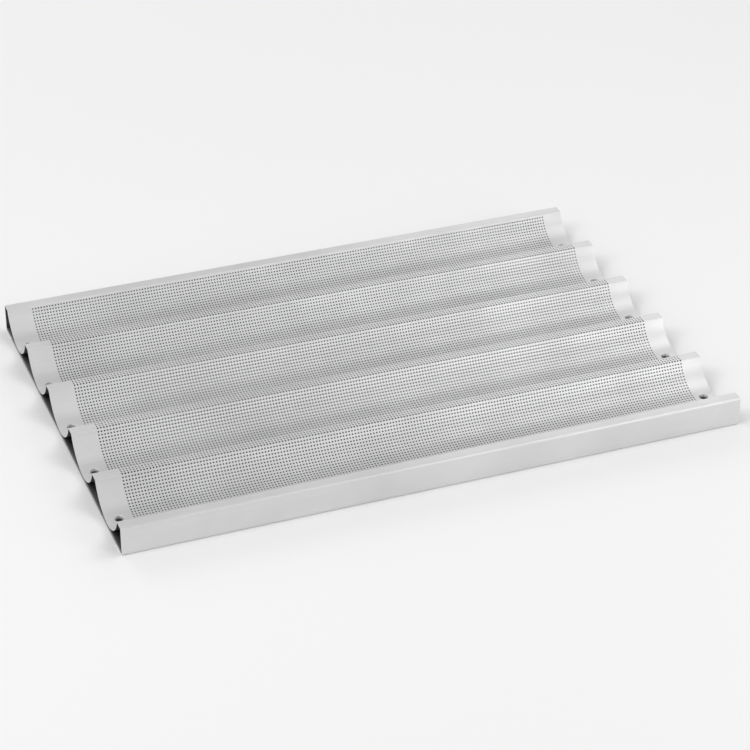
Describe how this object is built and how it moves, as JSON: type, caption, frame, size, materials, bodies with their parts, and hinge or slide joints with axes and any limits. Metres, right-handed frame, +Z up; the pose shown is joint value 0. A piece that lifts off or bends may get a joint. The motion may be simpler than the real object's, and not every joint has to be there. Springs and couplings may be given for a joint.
{
  "type": "baguette tray",
  "caption": "Perforated aluminium baking tray with long rounded troughs side by side, straight front and rear skirts and a flat bar riveted under each end.",
  "frame": {"origin": "centre of the footprint, on the plane that the tray stands on", "axes": "+X along the troughs, +Y to the rear skirt with the front skirt facing -Y, +Z up"},
  "size_m": [0.6572, 0.454, 0.0318],
  "materials": {
    "sheet": "satin, as rolled",
    "rail": "plain mill",
    "rivet": "plain mill"
  },
  "bodies": {
    "root": {"perforated_sheet": "sheet", "end_rail_left": "rail", "end_rail_right": "rail", "rivet_left_1": "rivet", "rivet_left_2": "rivet", "rivet_left_3": "rivet", "rivet_left_4": "rivet", "rivet_left_5": "rivet", "rivet_right_1": "rivet", "rivet_right_2": "rivet", "rivet_right_3": "rivet", "rivet_right_4": "rivet", "rivet_right_5": "rivet"}
  },
  "joints": []
}
